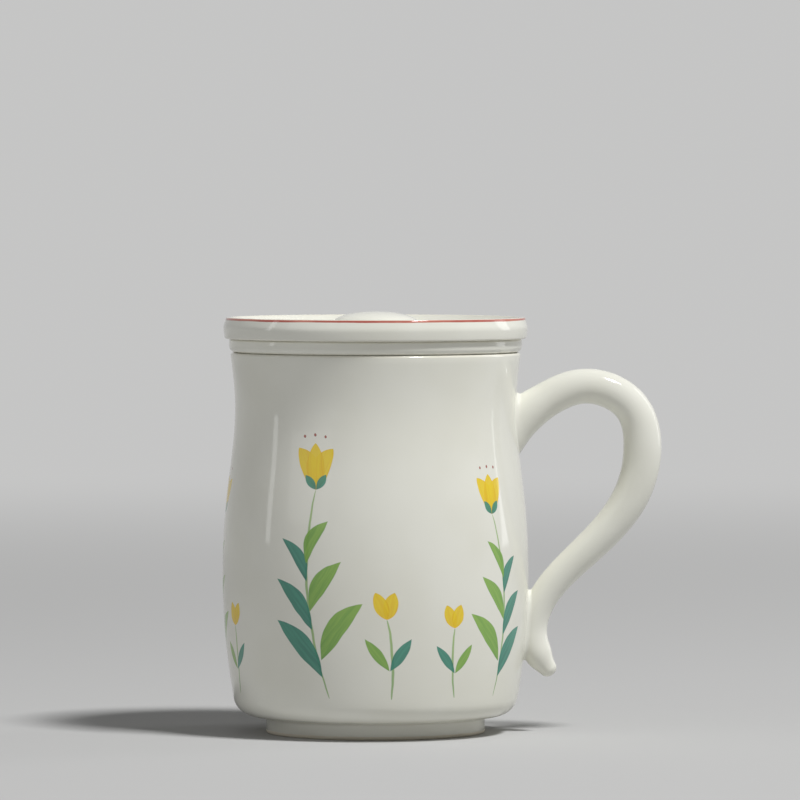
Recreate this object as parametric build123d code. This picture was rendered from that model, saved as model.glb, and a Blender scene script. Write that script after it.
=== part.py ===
from build123d import *
import os

# Covered porcelain tea mug: a cup with a luted handle, a lift-out infuser and a loose lid.
# Millimetres, +Z up. The origin is the middle of the foot on the table, and +X points to the handle.

# Cup
CUP_HEIGHT = 110.6  # table to rim
MOUTH_RADIUS = 42.15
MOUTH_LEAN = 7.0  # degrees that the wall leans outwards at the rim
WAIST_RADIUS = 40.9
WAIST_DROP = 14.2  # rim down to the narrowest place
SHOULDER_RADIUS = 43.3
SHOULDER_HEIGHT = 69.0
BELLY_RADIUS = 44.45
BELLY_HEIGHT = 43.0
HEEL_RADIUS = 41.45
HEEL_ROUND = 6.2
HEEL_LEAN = 10.0  # degrees that the wall leans outwards where it leaves the heel
CUP_WALL = 3.2
CUP_FLOOR = 5.0
FLOOR_ROUND = 11.0  # between the floor and the wall inside
RIM_ROUND = 0.8
FOOT_STEP = 3.45  # level underside from the heel in to the foot ring
FOOT_WIDTH = 3.6
FOOT_HEIGHT = 5.1
FOOT_RECESS = 4.3  # table up to the underside within the foot ring
FOOT_EDGE = 0.7
FOOT_NECK = 1.3  # fillets between the foot ring and the underside

# Handle, a rod that tapers from the upper root to a curled tail
HANDLE_THICKNESS = 11.2  # across the rod at the outermost bend, seen from the side
HANDLE_WIDTH = 10.6  # across the rod at the same place, seen from the end
HANDLE_REACH = 33.15  # cup at its widest out to the rod's centre line
HANDLE_TOP_DROP = 9.85  # rim down to the top of the centre line
UPPER_ROOT_DROP = 20.2  # rim down to where the centre line meets the wall
UPPER_ROOT_PITCH = 46.0  # degrees that the rod climbs as it leaves the wall
ROOT_SINK = 8.0  # along the centre line, cut back to the wall's surface
LOWER_ROOT_HEIGHT = 30.6
LOWER_ROOT_STANDOFF = 2.0  # wall out to the centre line where the rod lies along it
TAIL_STANDOFF = 8.15  # wall out to the middle of the tail's tip
TAIL_HEIGHT = 17.95
TAIL_PITCH = 50.0  # degrees that the tail's tip points down
TAIL_TAPER = 20.0  # degrees that its side draws in at the tip

# Centre line between the two roots: outwards from the cup at its widest to the full reach, and up
# from the lower root to the top of the loop, with the rod's section there
LOOP_SHARES = (
    (0.145, 0.940, 0.93),
    (0.493, 1.000, 0.905),
    (0.915, 0.906, 0.93),
    (1.000, 0.744, 1.00),
    (0.882, 0.529, 0.94),
    (0.689, 0.405, 0.88),
    (0.421, 0.281, 0.815),
    (0.098, 0.094, 0.745),
)
SUNK_ROOT_SHARE = 1.34
UPPER_ROOT_SHARE = 1.11
LOWER_ROOT_SHARE = 0.715
TAIL_NECK_SHARE = 0.69
TAIL_TIP_SHARE = 0.37
TAIL_NECK_PLACE_SHARES = (0.34, 0.65)  # out and down from the lower root to the tip
HANDLE_STEPS = 28  # ovals along the rod
TAIL_TIP_TURNS = (40, 60, 80)  # degrees round the tip at which further ovals close it

# Infuser that hangs in the mouth by its flange
FLANGE_OVERHANG = 0.45  # past the mouth
FLANGE_THICKNESS = 4.0
FLANGE_ROUND = 1.9  # lower outer edge
FLANGE_EDGE = 0.7
BASKET_CLEARANCE = 1.2  # to the cup at its narrowest
BASKET_DEPTH = 64.0  # rim down to the underside
BASKET_TAPER = 3.0  # radius lost from the flange to the underside
BASKET_WALL = 2.6
BASKET_FLOOR = 3.0
BASKET_ROUND = 6.0
BASKET_NECK = 1.2  # fillet under the flange
BASKET_LIP = 1.0  # edge of the basket's mouth
HOLE_DIAMETER = 2.6
HOLE_PITCH = 5.6  # between rings of holes in the floor
HOLE_RINGS = 4
RING_HOLES = 6  # in the inmost ring, and as many more in each further one
SIDE_HOLE_ROWS = 2
SIDE_HOLE_COUNT = 20
SIDE_HOLE_START = 12.0  # underside up to the lowest row
SIDE_HOLE_PITCH = 6.5

# Lid, a dished disc whose plug stands in the basket's mouth
LID_OVERHANG = 1.7  # past the flange
LID_RIM_HEIGHT = 6.2  # seat up to the crest of the rim
LID_BULGE_HEIGHT = 3.3  # seat up to the widest place of the rim
LID_RIM_LEAN = 0.9  # radius lost from the widest place to the crest's outer edge
LID_FOOT_LEAN = 0.4  # radius lost from the widest place to the lower edge
LID_CREST = 1.2  # width of the crest
LID_EDGE = 0.65
LID_WALL = 3.0
LID_CLEARANCE = 0.8  # plug to the basket's mouth
PLUG_DEPTH = 8.0  # seat down to the plug's underside
PLUG_TAPER = 0.6
PLUG_ROUND = 2.5
LID_RIM_SLOPE = 2.6  # from the crest in to the foot of the rim
SHELF_ROUND = 3.4  # between the rim and the shelf
BROW_SHARE = 0.40  # of the dish's depth, rounded off at its upper edge
DISH_SHARE = 0.52  # of the same, rounded off at its floor

# Knob in the middle of the dish
KNOB_RADIUS = 12.2
KNOB_NECK_RADIUS = 8.6
KNOB_FOOT_RADIUS = 9.6
KNOB_FOOT_LEAN = 45.0  # degrees that the knob's foot draws in
KNOB_RISE = 1.7  # above the lid's crest
KNOB_CROWN = 3.2  # height of the domed top
KNOB_NECK_SHARE = 0.34  # of the way from the dish to the knob's widest place
CROWN_FULLNESS_SHARE = 0.55  # about a quarter of an ellipse

# Cuts run past what they cut by this much
OVERRUN = 1.0

SIDE_RADII = (MOUTH_RADIUS, WAIST_RADIUS, SHOULDER_RADIUS, BELLY_RADIUS)
WIDEST_RADIUS = max(SIDE_RADII)
NARROWEST_RADIUS = min(SIDE_RADII)
FOOT_RADIUS = HEEL_RADIUS - HEEL_ROUND - FOOT_STEP
SEAT_HEIGHT = CUP_HEIGHT + FLANGE_THICKNESS
LID_TOP = SEAT_HEIGHT + LID_RIM_HEIGHT
DISH_HEIGHT = SEAT_HEIGHT - PLUG_DEPTH + LID_WALL
FLANGE_RADIUS = MOUTH_RADIUS + FLANGE_OVERHANG
BASKET_RADIUS = NARROWEST_RADIUS - CUP_WALL - BASKET_CLEARANCE
BASKET_MOUTH = BASKET_RADIUS - BASKET_WALL
BASKET_BASE = CUP_HEIGHT - BASKET_DEPTH
UP = (0, 1)
OUT = (1, 0)
IN = (-1, 0)


def turned(*outline):
    """Solid turned about the axis from a closed outline of radius and height."""
    return revolve(Plane.XZ * make_face(outline), Axis.Z)


def leaning(degrees):
    """Direction that leans outwards from straight up."""
    return Vector(*UP).rotate(Axis.Z, -degrees)


def climbing(degrees):
    """Direction that climbs from straight outwards."""
    return Vector(*OUT).rotate(Axis.Z, degrees)


def heel_arc():
    """Round corner from the cup's underside to its wall."""
    return JernArc((HEEL_RADIUS - HEEL_ROUND, FOOT_HEIGHT), OUT, HEEL_ROUND, 90 - HEEL_LEAN)


def cup_side(foot_of_side, foot_tangent, inset):
    """Side of the cup from heel to rim, this far inside the outer surface."""
    return Spline(
        foot_of_side,
        (BELLY_RADIUS - inset, BELLY_HEIGHT),
        (SHOULDER_RADIUS - inset, SHOULDER_HEIGHT),
        (WAIST_RADIUS - inset, CUP_HEIGHT - WAIST_DROP),
        (MOUTH_RADIUS - inset, CUP_HEIGHT - RIM_ROUND),
        tangents=(foot_tangent, leaning(MOUTH_LEAN)),
    )


def outer_side():
    """Outer side of the cup from the heel to the rim."""
    heel = heel_arc()
    return cup_side(heel @ 1, heel % 1, 0)


def wall_radius(height):
    """Outer radius of the cup's wall at a height."""
    side = outer_side()
    low, high = 0.0, 1.0
    for _ in range(40):
        middle = (low + high) / 2
        if (side @ middle).Y < height:
            low = middle
        else:
            high = middle
    return (side @ low).X


def cup_blank():
    """Cup's outer form without its hollow and foot, to cut the handle's roots to the wall."""
    heel = heel_arc()
    side = outer_side()
    rim = side @ 1
    return turned(
        Line((0, FOOT_HEIGHT), heel @ 0),
        heel,
        side,
        Line(rim, (0, rim.Y)),
        Line((0, rim.Y), (0, FOOT_HEIGHT)),
    )


def make_cup_body():
    """Wall, floor and foot ring, one clay body."""
    heel = heel_arc()
    foot_inner = FOOT_RADIUS - FOOT_WIDTH
    foot = FilletPolyline(
        (0, FOOT_RECESS),
        (foot_inner, FOOT_RECESS),
        (foot_inner, 0),
        (FOOT_RADIUS, 0),
        (FOOT_RADIUS, FOOT_HEIGHT),
        heel @ 0,
        radius=(FOOT_NECK, FOOT_EDGE, FOOT_EDGE, FOOT_NECK),
    )
    outer = outer_side()
    floor_top = FOOT_RECESS + CUP_FLOOR
    side_foot = floor_top + FLOOR_ROUND - FLOOR_ROUND * leaning(HEEL_LEAN).X
    floor_edge = wall_radius(side_foot) - CUP_WALL - FLOOR_ROUND * leaning(HEEL_LEAN).Y
    corner = JernArc((floor_edge, floor_top), OUT, FLOOR_ROUND, 90 - HEEL_LEAN)
    inner = cup_side(corner @ 1, corner % 1, CUP_WALL)
    land_outer = (MOUTH_RADIUS - RIM_ROUND, CUP_HEIGHT)
    land_inner = (MOUTH_RADIUS - CUP_WALL + RIM_ROUND, CUP_HEIGHT)
    return turned(
        foot,
        heel,
        outer,
        TangentArc(land_outer, outer @ 1, tangent=OUT),
        Line(land_outer, land_inner),
        TangentArc(land_inner, inner @ 1, tangent=IN),
        inner,
        corner,
        Line(corner @ 0, (0, floor_top)),
        Line((0, floor_top), (0, FOOT_RECESS)),
    )


def handle_stations():
    """Centre points of the rod with its share of the full section, from the upper root to the tail."""
    root_height = CUP_HEIGHT - UPPER_ROOT_DROP
    root = Vector(wall_radius(root_height), root_height)
    sunk = root - climbing(UPPER_ROOT_PITCH) * ROOT_SINK
    rise = CUP_HEIGHT - HANDLE_TOP_DROP - LOWER_ROOT_HEIGHT
    stations = [(sunk, SUNK_ROOT_SHARE), (root, UPPER_ROOT_SHARE)]
    for out_share, rise_share, section_share in LOOP_SHARES:
        place = Vector(WIDEST_RADIUS + HANDLE_REACH * out_share, LOWER_ROOT_HEIGHT + rise * rise_share)
        stations.append((place, section_share))
    lower = Vector(wall_radius(LOWER_ROOT_HEIGHT) + LOWER_ROOT_STANDOFF, LOWER_ROOT_HEIGHT)
    tip = Vector(wall_radius(TAIL_HEIGHT) + TAIL_STANDOFF, TAIL_HEIGHT)
    out_share, down_share = TAIL_NECK_PLACE_SHARES
    neck = Vector(lower.X + (tip.X - lower.X) * out_share, lower.Y + (tip.Y - lower.Y) * down_share)
    return stations + [(lower, LOWER_ROOT_SHARE), (neck, TAIL_NECK_SHARE), (tip, TAIL_TIP_SHARE)]


def between(marks, place):
    """Value at a place, read off straight lines between (place, value) marks in order."""
    for (start, first), (end, last) in zip(marks, marks[1:]):
        if place <= end:
            return first + (last - first) * (place - start) / (end - start)
    return marks[-1][1]


def rod_oval(centre, along, share):
    """Oval section of the rod, of quarter arcs, square to its centre line."""
    width = HANDLE_WIDTH * share / 2
    thickness = HANDLE_THICKNESS * share / 2
    arcs = []
    for start in (0, 90, 180, 270):
        arcs.append(EllipticalCenterArc((0, 0), width, thickness, start, arc_size=90))
    return Plane(origin=centre, x_dir=(0, 1, 0), z_dir=along) * make_face(arcs)


def make_cup_handle():
    """Tapering rod lofted through ovals along its centre line, cut to the wall where it is luted."""
    stations = handle_stations()
    ends = (climbing(UPPER_ROOT_PITCH), climbing(-TAIL_PITCH))
    path = Plane.XZ * Spline(*[place for place, share in stations], tangents=ends)
    marks = [(path.param_at_point(Vector(place.X, 0, place.Y)), share) for place, share in stations]
    ovals = []
    for step in range(HANDLE_STEPS + 1):
        along = step / HANDLE_STEPS
        ovals.append(rod_oval(path @ along, path % along, between(marks, along)))
    opening = climbing(TAIL_TAPER)
    tip_radius = HANDLE_THICKNESS * TAIL_TIP_SHARE / 2 / opening.X
    for turn in TAIL_TIP_TURNS:
        closing = climbing(turn)
        place = path @ 1 + path % 1 * tip_radius * (closing.Y - opening.Y)
        ovals.append(rod_oval(place, path % 1, TAIL_TIP_SHARE * closing.X / opening.X))
    return loft(ovals) - cup_blank()


def basket_radius(height):
    """Outer radius of the basket's tapering wall."""
    return BASKET_RADIUS - BASKET_TAPER * (CUP_HEIGHT - height) / BASKET_DEPTH


def floor_holes():
    """Rings of holes through the basket's floor, round one in the middle."""
    cutter = Cylinder(HOLE_DIAMETER / 2, BASKET_FLOOR + 2 * OVERRUN)
    middle = Pos(0, 0, BASKET_BASE + BASKET_FLOOR / 2)
    holes = [middle * cutter]
    for ring in range(1, HOLE_RINGS + 1):
        holes += [middle * place * cutter for place in PolarLocations(HOLE_PITCH * ring, RING_HOLES * ring)]
    return holes


def side_holes():
    """Rows of holes round the foot of the basket's wall, staggered from row to row."""
    holes = []
    for row in range(SIDE_HOLE_ROWS):
        height = BASKET_BASE + SIDE_HOLE_START + SIDE_HOLE_PITCH * row
        radius = basket_radius(height) - BASKET_WALL / 2
        cutter = Rot(0, 90, 0) * Cylinder(HOLE_DIAMETER / 2, BASKET_WALL + 2 * OVERRUN)
        turn = 180 / SIDE_HOLE_COUNT * row
        places = PolarLocations(radius, SIDE_HOLE_COUNT, start_angle=turn)
        holes += [Pos(0, 0, height) * place * cutter for place in places]
    return holes


def make_infuser():
    """Tapering basket with a flange that rests on the rim, pierced at the bottom."""
    floor_top = BASKET_BASE + BASKET_FLOOR
    base_radius = basket_radius(BASKET_BASE)
    basket = FilletPolyline(
        (0, BASKET_BASE),
        (base_radius, BASKET_BASE),
        (BASKET_RADIUS, CUP_HEIGHT),
        (FLANGE_RADIUS, CUP_HEIGHT),
        (FLANGE_RADIUS, SEAT_HEIGHT),
        (BASKET_MOUTH, SEAT_HEIGHT),
        (base_radius - BASKET_WALL, floor_top),
        (0, floor_top),
        radius=(
            BASKET_ROUND,
            BASKET_NECK,
            FLANGE_ROUND,
            FLANGE_EDGE,
            BASKET_LIP,
            BASKET_ROUND - BASKET_WALL,
        ),
    )
    blank = turned(basket, Line((0, floor_top), (0, BASKET_BASE)))
    return blank - floor_holes() - side_holes()


def make_lid():
    """Dished disc of even wall with an upstanding rim, a level seat and a plug under it."""
    widest = FLANGE_RADIUS + LID_OVERHANG
    crest_outer = widest - LID_RIM_LEAN
    crest_inner = crest_outer - LID_CREST
    shelf_height = SEAT_HEIGHT + LID_WALL
    plug_radius = BASKET_MOUTH - LID_CLEARANCE
    plug_base = SEAT_HEIGHT - PLUG_DEPTH
    outline = FilletPolyline(
        (0, plug_base),
        (plug_radius - PLUG_TAPER, plug_base),
        (plug_radius, SEAT_HEIGHT),
        (widest - LID_FOOT_LEAN, SEAT_HEIGHT),
        (widest, SEAT_HEIGHT + LID_BULGE_HEIGHT),
        (crest_outer, LID_TOP),
        (crest_inner, LID_TOP),
        (crest_inner - LID_RIM_SLOPE, shelf_height),
        (plug_radius - LID_WALL, shelf_height),
        (plug_radius - LID_WALL - PLUG_TAPER, DISH_HEIGHT),
        (0, DISH_HEIGHT),
        radius=(
            PLUG_ROUND,
            LID_EDGE,
            LID_EDGE,
            LID_BULGE_HEIGHT,
            LID_EDGE,
            LID_EDGE,
            SHELF_ROUND,
            PLUG_DEPTH * BROW_SHARE,
            PLUG_DEPTH * DISH_SHARE,
        ),
    )
    return turned(outline, Line((0, DISH_HEIGHT), (0, plug_base)))


def make_lid_knob():
    """Round button with a drawn-in neck and a domed crown, luted to the dish."""
    top = LID_TOP + KNOB_RISE
    brim = top - KNOB_CROWN
    neck_height = DISH_HEIGHT + (brim - DISH_HEIGHT) * KNOB_NECK_SHARE
    side = Spline(
        (KNOB_FOOT_RADIUS, DISH_HEIGHT),
        (KNOB_NECK_RADIUS, neck_height),
        (KNOB_RADIUS, brim),
        tangents=(leaning(-KNOB_FOOT_LEAN), UP),
    )
    crown = Bezier(
        (KNOB_RADIUS, brim),
        (KNOB_RADIUS, brim + KNOB_CROWN * CROWN_FULLNESS_SHARE),
        (KNOB_RADIUS * CROWN_FULLNESS_SHARE, top),
        (0, top),
    )
    return turned(
        Line((0, DISH_HEIGHT), side @ 0),
        side,
        crown,
        Line((0, top), (0, DISH_HEIGHT)),
    )


PIECES = {
    "cup_body": make_cup_body,
    "cup_handle": make_cup_handle,
    "infuser": make_infuser,
    "lid": make_lid,
    "lid_knob": make_lid_knob,
}

os.makedirs("parts", exist_ok=True)
for name, make in PIECES.items():
    export_step(make(), f"parts/{name}.step")
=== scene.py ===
import math

import bmesh
import bpy
import numpy as np
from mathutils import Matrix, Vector


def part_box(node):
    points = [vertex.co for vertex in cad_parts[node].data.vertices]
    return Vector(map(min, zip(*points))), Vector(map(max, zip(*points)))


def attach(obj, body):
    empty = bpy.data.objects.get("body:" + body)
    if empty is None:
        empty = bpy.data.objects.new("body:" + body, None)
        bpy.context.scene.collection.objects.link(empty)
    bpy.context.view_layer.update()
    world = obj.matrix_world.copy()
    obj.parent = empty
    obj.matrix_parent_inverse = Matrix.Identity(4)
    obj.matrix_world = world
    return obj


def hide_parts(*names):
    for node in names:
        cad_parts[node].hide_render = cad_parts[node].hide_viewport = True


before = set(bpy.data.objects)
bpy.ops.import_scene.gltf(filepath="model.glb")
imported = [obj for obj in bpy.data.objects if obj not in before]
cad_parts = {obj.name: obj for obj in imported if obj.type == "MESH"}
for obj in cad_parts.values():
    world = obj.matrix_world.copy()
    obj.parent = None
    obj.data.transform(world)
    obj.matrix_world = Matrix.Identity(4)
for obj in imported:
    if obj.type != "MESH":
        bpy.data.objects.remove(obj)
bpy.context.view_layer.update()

# A covered porcelain tea mug: cup, looped handle, lift-out infuser, dished lid and knob.
# Metres and degrees, +Z up, +X to the handle. The camera looks along +Y.

# Sizes that the frame gives
cup_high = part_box("cup_body")[1]
handle_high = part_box("cup_handle")[1]
infuser_low, infuser_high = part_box("infuser")
lid_low, lid_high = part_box("lid")
knob_low, knob_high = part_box("lid_knob")
RIM_HEIGHT = cup_high.z
BELLY_RADIUS = cup_high.y
FLANGE_RADIUS = infuser_high.y
SEAT_HEIGHT = infuser_high.z
BASKET_BASE = infuser_low.z
LID_BULGE_CUT = 0.00006  # taken off the lid's widest place by its rounding
LID_RADIUS = lid_high.y + LID_BULGE_CUT
LID_TOP = lid_high.z
PLUG_BASE = lid_low.z
DISH_HEIGHT = knob_low.z
KNOB_RADIUS = knob_high.y
KNOB_TOP = knob_high.z

# Cup, with its leans outwards from upright
MOUTH_RADIUS = 0.04215
MOUTH_LEAN = 7
WAIST_RADIUS = 0.0409
WAIST_DROP = 0.0142
SHOULDER_RADIUS = 0.0433
SHOULDER_HEIGHT = 0.069
BELLY_HEIGHT = 0.043
HEEL_CENTRE = 0.03525
HEEL_ROUND = 0.0062
HEEL_LEAN = 10
CUP_WALL = 0.0032
CUP_FLOOR = 0.005
FLOOR_ROUND = 0.011
RIM_ROUND = 0.0008
FOOT_RADIUS = 0.0318
FOOT_WIDTH = 0.0036
FOOT_HEIGHT = 0.0051
FOOT_RECESS = 0.0043
FOOT_EDGE = 0.0007
FOOT_NECK = 0.0013

# Handle
ROD_THICKNESS = 0.0112
ROD_WIDTH = 0.0106
ROD_TOP_DROP = 0.00985
UPPER_ROOT_DROP = 0.0202
UPPER_ROOT_PITCH = 46  # climbing
ROOT_SINK = 0.008
LOWER_ROOT_HEIGHT = 0.0306
LOWER_ROOT_STANDOFF = 0.0020
TAIL_STANDOFF = 0.0081
TAIL_HEIGHT = 0.0180
TAIL_PITCH = 50  # falling
TAIL_TAPER = 26  # where the round end takes over
LOOP_SHARES = (  # of the loop's reach, of its rise and of the rod's full section
    (0.145, 0.940, 0.93),
    (0.493, 1.000, 0.905),
    (0.915, 0.906, 0.93),
    (1.000, 0.744, 1.00),
    (0.882, 0.529, 0.94),
    (0.689, 0.405, 0.88),
    (0.421, 0.281, 0.815),
    (0.098, 0.094, 0.745),
)
SUNK_ROOT_SHARE = 1.34
UPPER_ROOT_SHARE = 1.11
LOWER_ROOT_SHARE = 0.715
TAIL_NECK_SHARE = 0.76
TAIL_TIP_SHARE = 0.40
TAIL_NECK_PLACE_SHARES = (0.34, 0.65)  # of the way out and down from the lower root to the tip
ROD_TUCK = 0.0012  # how deep the rod's hidden root lies in the wall
UPPER_FILLETS = (0.0009, 0.0016)  # radii of the slip round a root, at its ends and sides
LOWER_FILLETS = (0.0005, 0.0012)
ROOT_LAP = 0.0005  # past the fillet on either side, sunk to meet the surface
ROOT_LAP_SINK = 0.00004

# Search for the lines where the rod leaves the wall, and for the balls that roll there
UPPER_ROOT_END_SHARE = 1 / 3  # of the rod's length
LOWER_ROOT_START_SHARE = 0.6
LOWER_ROOT_REACH = 0.025  # along the rod
LOWER_ROOT_TURN = 2.4  # round the rod, in radians
ROOT_TRIES = 1500
FILLET_TRIES = 60
SLOPE_STEP = 0.0002

# Infuser
BASKET_RADIUS = 0.0365
BASKET_TAPER = 0.003
BASKET_WALL = 0.0026
BASKET_FLOOR = 0.003
BASKET_ROUND = 0.006
BASKET_NECK = 0.0012
BASKET_LIP = 0.001
FLANGE_ROUND = 0.0019
FLANGE_EDGE = 0.0007
HOLE_RADIUS = 0.0013
HOLE_EDGE = 0.00035
HOLE_EDGE_SHARE = 0.25  # of the softening, left at its middle
HOLE_PITCH = 0.0056
HOLE_RINGS = 4
RING_HOLES = 6
SIDE_ROWS = 2
SIDE_HOLES = 20
SIDE_START = 0.012
SIDE_PITCH = 0.0065

# Lid and knob
LID_BULGE_HEIGHT = 0.0033
LID_RIM_LEAN = 0.0009
LID_FOOT_LEAN = 0.0004
LID_CREST = 0.0012
LID_EDGE = 0.00065
LID_WALL = 0.003
LID_RIM_SLOPE = 0.0026
PLUG_RADIUS = 0.0331
PLUG_TAPER = 0.0006
PLUG_ROUND = 0.0025
SHELF_ROUND = 0.0034
BROW_ROUND = 0.0032
DISH_ROUND = 0.00416
KNOB_NECK_RADIUS = 0.0086
KNOB_FOOT_RADIUS = 0.0106
KNOB_BRIM_PULL = 2.05  # how firmly the side runs down from the brim before it draws in
KNOB_FOOT_CLIMB = 3
KNOB_FOOT_SINK = 0.00003  # under the dish, so that the two glazes run into each other
KNOB_CROWN = 0.0032
KNOB_NECK_SHARE = 0.34

# Fineness of the meshes
ROUND_SEGMENTS = 160
SMALL_SEGMENTS = 96
ARC_TURN = 11
SIDE_STEPS = 56
KNOB_STEPS = 28
ROD_RINGS = 260
ROD_SIDES = 64
ROD_SAMPLES = 1040
ROD_SMOOTHING = 30  # samples on either side over which the section is evened out
TIP_RINGS = 23
ROOT_SIDES = 96
FILLET_STEPS = 9
HOLE_SIDES = 24
TILE_STEPS = 6
TILE_SHARES = (1.0, 0.6, 0.25)  # of the way from a hole to its tile's edge
TILE_TURNS = (0, 30, 60, 90)  # round the softened edge of a hole
WELD = 0.000002


# Outlines

def arc(centre, radius, start, end):
    """Points round a centre from one angle to another."""
    steps = max(2, math.ceil(abs(end - start) / ARC_TURN))
    angles = np.radians(np.linspace(start, end, steps + 1))
    return [(centre[0] + radius * math.cos(a), centre[1] + radius * math.sin(a)) for a in angles]


def rounded(*corners):
    """Outline through corners of radius, height and rounding."""
    points = []
    for index, (x, y, rounding) in enumerate(corners):
        here = Vector((x, y))
        if not rounding:
            points.append((x, y))
            continue
        back, ahead = [(Vector(corners[index + step][:2]) - here).normalized() for step in (-1, 1)]
        half = back.angle(ahead) / 2
        centre = here + (back + ahead).normalized() * rounding / math.sin(half)
        start, end = [here + way * rounding / math.tan(half) - centre for way in (back, ahead)]
        first = math.degrees(math.atan2(start.y, start.x))
        sweep = math.degrees(start.angle_signed(end))
        points += arc(centre, rounding, first, first - sweep)
    return points


def heading(degrees):
    """Direction that climbs from straight outwards."""
    angle = math.radians(degrees)
    return np.array((math.cos(angle), math.sin(angle)))


def flowing(points, start, end, steps):
    """Smooth curve through points with given end slopes: samples, their marks and the points' marks."""
    points = np.array(points, float)
    chords = np.linalg.norm(np.diff(points, axis=0), axis=1)
    marks = np.concatenate([[0], np.cumsum(chords)])
    count = len(points)
    matrix = np.eye(count)
    sums = np.zeros_like(points)
    sums[0], sums[-1] = start, end
    for i in range(1, count - 1):
        before, after = chords[i - 1], chords[i]
        matrix[i, i - 1 : i + 2] = 1 / before, 2 / before + 2 / after, 1 / after
        sums[i] = 3 * (points[i] - points[i - 1]) / before**2 + 3 * (points[i + 1] - points[i]) / after**2
    slopes = np.linalg.solve(matrix, sums)
    samples = np.linspace(0, marks[-1], steps + 1)
    spans = np.clip(np.searchsorted(marks, samples, side="right") - 1, 0, count - 2)
    length = chords[spans][:, None]
    t = (samples - marks[spans])[:, None] / length
    curve = (
        points[spans] * (2 * t**3 - 3 * t**2 + 1)
        + slopes[spans] * length * (t**3 - 2 * t**2 + t)
        + points[spans + 1] * (3 * t**2 - 2 * t**3)
        + slopes[spans + 1] * length * (t**3 - t**2)
    )
    return curve, samples, marks


def cup_side(foot, inset):
    """Side of the cup from heel to rim, this far inside its surface."""
    points = [
        foot,
        (BELLY_RADIUS - inset, BELLY_HEIGHT),
        (SHOULDER_RADIUS - inset, SHOULDER_HEIGHT),
        (WAIST_RADIUS - inset, RIM_HEIGHT - WAIST_DROP),
        (MOUTH_RADIUS - inset, RIM_HEIGHT - RIM_ROUND),
    ]
    curve, _, _ = flowing(points, heading(90 - HEEL_LEAN), heading(90 - MOUTH_LEAN), SIDE_STEPS)
    return curve.tolist()


HEEL = arc((HEEL_CENTRE, FOOT_HEIGHT + HEEL_ROUND), HEEL_ROUND, -90, -HEEL_LEAN)
OUTER_SIDE = cup_side(HEEL[-1], 0)
SIDE_RADII, SIDE_HEIGHTS = np.array(OUTER_SIDE).T


def wall_radius(height):
    """Outer radius of the cup's wall at a height, or at many."""
    return np.interp(height, SIDE_HEIGHTS, SIDE_RADII)


def cup_outline():
    """From the middle of the floor over the rim to the middle of the underside."""
    floor_top = FOOT_RECESS + CUP_FLOOR
    lean = heading(HEEL_LEAN)
    floor_edge = wall_radius(floor_top + FLOOR_ROUND * (1 - lean[1])) - CUP_WALL - FLOOR_ROUND * lean[0]
    corner = arc((floor_edge, floor_top + FLOOR_ROUND), FLOOR_ROUND, -90, -HEEL_LEAN)
    rim_base = RIM_HEIGHT - RIM_ROUND
    foot_inner = FOOT_RADIUS - FOOT_WIDTH
    foot = rounded(
        (HEEL_CENTRE, FOOT_HEIGHT, 0),
        (FOOT_RADIUS, FOOT_HEIGHT, FOOT_NECK),
        (FOOT_RADIUS, 0, FOOT_EDGE),
        (foot_inner, 0, FOOT_EDGE),
        (foot_inner, FOOT_RECESS, FOOT_NECK),
        (0, FOOT_RECESS, 0),
    )
    return (
        [(0, floor_top)]
        + corner
        + cup_side(corner[-1], CUP_WALL)
        + arc((MOUTH_RADIUS - CUP_WALL + RIM_ROUND, rim_base), RIM_ROUND, 180, 90)
        + arc((MOUTH_RADIUS - RIM_ROUND, rim_base), RIM_ROUND, 90, 0)
        + OUTER_SIDE[::-1]
        + HEEL[::-1]
        + foot
    )


def lid_outline():
    """From the middle of the dish, out over the rim and back under the seat and plug."""
    crest_outer = LID_RADIUS - LID_RIM_LEAN
    crest_inner = crest_outer - LID_CREST
    shelf = SEAT_HEIGHT + LID_WALL
    return rounded(
        (0, DISH_HEIGHT, 0),
        (PLUG_RADIUS - LID_WALL - PLUG_TAPER, DISH_HEIGHT, DISH_ROUND),
        (PLUG_RADIUS - LID_WALL, shelf, BROW_ROUND),
        (crest_inner - LID_RIM_SLOPE, shelf, SHELF_ROUND),
        (crest_inner, LID_TOP, LID_EDGE),
        (crest_outer, LID_TOP, LID_EDGE),
        (LID_RADIUS, SEAT_HEIGHT + LID_BULGE_HEIGHT, LID_BULGE_HEIGHT),
        (LID_RADIUS - LID_FOOT_LEAN, SEAT_HEIGHT, LID_EDGE),
        (PLUG_RADIUS, SEAT_HEIGHT, LID_EDGE),
        (PLUG_RADIUS - PLUG_TAPER, PLUG_BASE, PLUG_ROUND),
        (0, PLUG_BASE, 0),
    )


def knob_outline():
    """From the middle of the crown down over the brim and neck to the dish."""
    brim = KNOB_TOP - KNOB_CROWN
    foot = DISH_HEIGHT - KNOB_FOOT_SINK
    neck = DISH_HEIGHT + (brim - DISH_HEIGHT) * KNOB_NECK_SHARE
    crown = [(KNOB_RADIUS * x, brim + KNOB_CROWN * y) for x, y in arc((0, 0), 1, 90, 0)]
    points = [(KNOB_RADIUS, brim), (KNOB_NECK_RADIUS, neck), (KNOB_FOOT_RADIUS, foot)]
    side, _, _ = flowing(points, heading(-90) * KNOB_BRIM_PULL, heading(-KNOB_FOOT_CLIMB), KNOB_STEPS)
    return crown + side.tolist() + [(0, foot)]


def basket_radius(height):
    """Outer radius of the basket's tapering wall."""
    return BASKET_RADIUS - BASKET_TAPER * (RIM_HEIGHT - height) / (RIM_HEIGHT - BASKET_BASE)


def basket_inside(height):
    """Inner radius of the same wall."""
    slope = BASKET_TAPER / (SEAT_HEIGHT - BASKET_BASE - BASKET_FLOOR)
    return BASKET_RADIUS - BASKET_WALL - slope * (SEAT_HEIGHT - height)


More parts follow.
